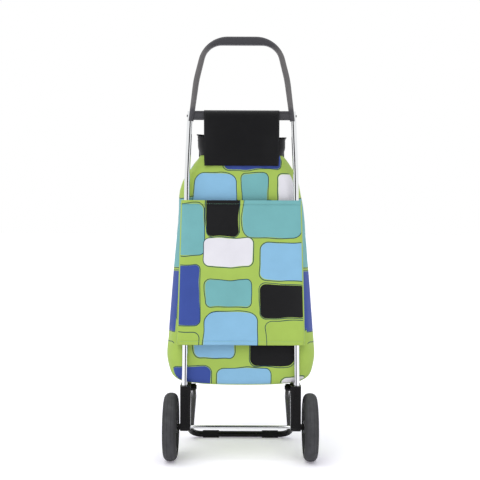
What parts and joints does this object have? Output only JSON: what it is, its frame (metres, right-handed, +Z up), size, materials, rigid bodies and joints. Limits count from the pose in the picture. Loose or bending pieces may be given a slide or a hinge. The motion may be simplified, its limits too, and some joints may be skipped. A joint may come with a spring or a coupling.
{
  "type": "folding shopping trolley",
  "caption": "Two-wheeled shopping trolley: soft printed bag on aluminium tubes with a moulded arch handle, a fold-up front stand and spoked wheels.",
  "frame": {"origin": "on the floor, under the middle of the whole object's box", "axes": "+Z up; +Y from the user's side to the front, where the stand is; +X to the user's right, along the axle"},
  "size_m": [0.38, 0.3425, 1.04],
  "materials": {
    "moulded_handle": "fine-grained moulded polypropylene, warm grey",
    "polished_tube": "polished and clear anodised",
    "leg_plastic": "moulded glass-filled nylon, semi-matt black",
    "axle_steel": "bright drawn steel",
    "zinc_steel": "zinc plated",
    "black_steel": "black powder coat",
    "foot_rubber": "soft moulded rubber",
    "tyre_foam": "moulded foam rubber, dark grey",
    "rim_plastic": "moulded plastic, dark grey",
    "bush_plastic": "turned acetal, natural white",
    "board_plastic": "extruded sheet, black",
    "printed_cloth": "coated polyester cloth, printed with soft-cornered blocks",
    "black_cloth": "satin-woven polyester",
    "hook_tape": "woven hook-and-loop tape"
  },
  "bodies": {
    "frame": {"handle": "moulded_handle", "handle_rivets": "black_steel", "leg_screws": "black_steel", "axle": "axle_steel", "frame_tube_left": "polished_tube", "frame_tube_right": "polished_tube", "leg_left": "leg_plastic", "leg_right": "leg_plastic", "pivot_rivet_left": "black_steel", "pivot_rivet_right": "black_steel", "pivot_washer_left": "black_steel", "pivot_washer_right": "black_steel", "axle_spacer_left": "leg_plastic", "axle_spacer_right": "leg_plastic", "push_nut_left": "zinc_steel", "push_nut_right": "zinc_steel", "bag_body": "printed_cloth", "bag_collar": "black_cloth", "hanging_flap": "black_cloth", "rear_sleeve": "printed_cloth", "flap_hook_tape": "hook_tape", "flap_loop_tape": "hook_tape", "lid_loop_tape": "hook_tape"},
    "wheel_left": {"tyre_left": "tyre_foam", "rim_left": "rim_plastic", "wheel_bush_left": "bush_plastic", "hub_cap_left": "rim_plastic"},
    "wheel_right": {"tyre_right": "tyre_foam", "rim_right": "rim_plastic", "wheel_bush_right": "bush_plastic", "hub_cap_right": "rim_plastic"},
    "stand": {"stand_tube": "black_steel", "stand_foot_left": "foot_rubber", "stand_foot_right": "foot_rubber"},
    "base": {"base_board": "board_plastic"},
    "lid": {"lid": "black_cloth", "lid_hook_tape": "hook_tape"}
  },
  "joints": [
    {"name": "wheel_left_spin", "type": "hinge", "parent": "frame", "child": "wheel_left", "pos_m": [-0.171, -0.08875, 0.0825], "axis": [1, 0, 0], "continuous": true},
    {"name": "wheel_right_spin", "type": "hinge", "parent": "frame", "child": "wheel_right", "pos_m": [0.171, -0.08875, 0.0825], "axis": [1, 0, 0], "continuous": true},
    {"name": "stand_fold", "type": "hinge", "parent": "frame", "child": "stand", "pos_m": [0, -0.04375, 0.172], "axis": [1, 0, 0], "range_deg": [0, 128], "deforming": ["bag_body"]},
    {"name": "base_fold", "type": "hinge", "parent": "frame", "child": "base", "pos_m": [0, -0.07075, 0.189], "axis": [1, 0, 0], "range_deg": [0, 88]},
    {"name": "lid_open", "type": "hinge", "parent": "frame", "child": "lid", "pos_m": [0, -0.07625, 0.8013], "axis": [1, 0, 0], "range_deg": [0, 90]}
  ],
  "couplings": [
    {"joint": "base_fold", "follows": "stand_fold", "ratio": 0.6875}
  ]
}
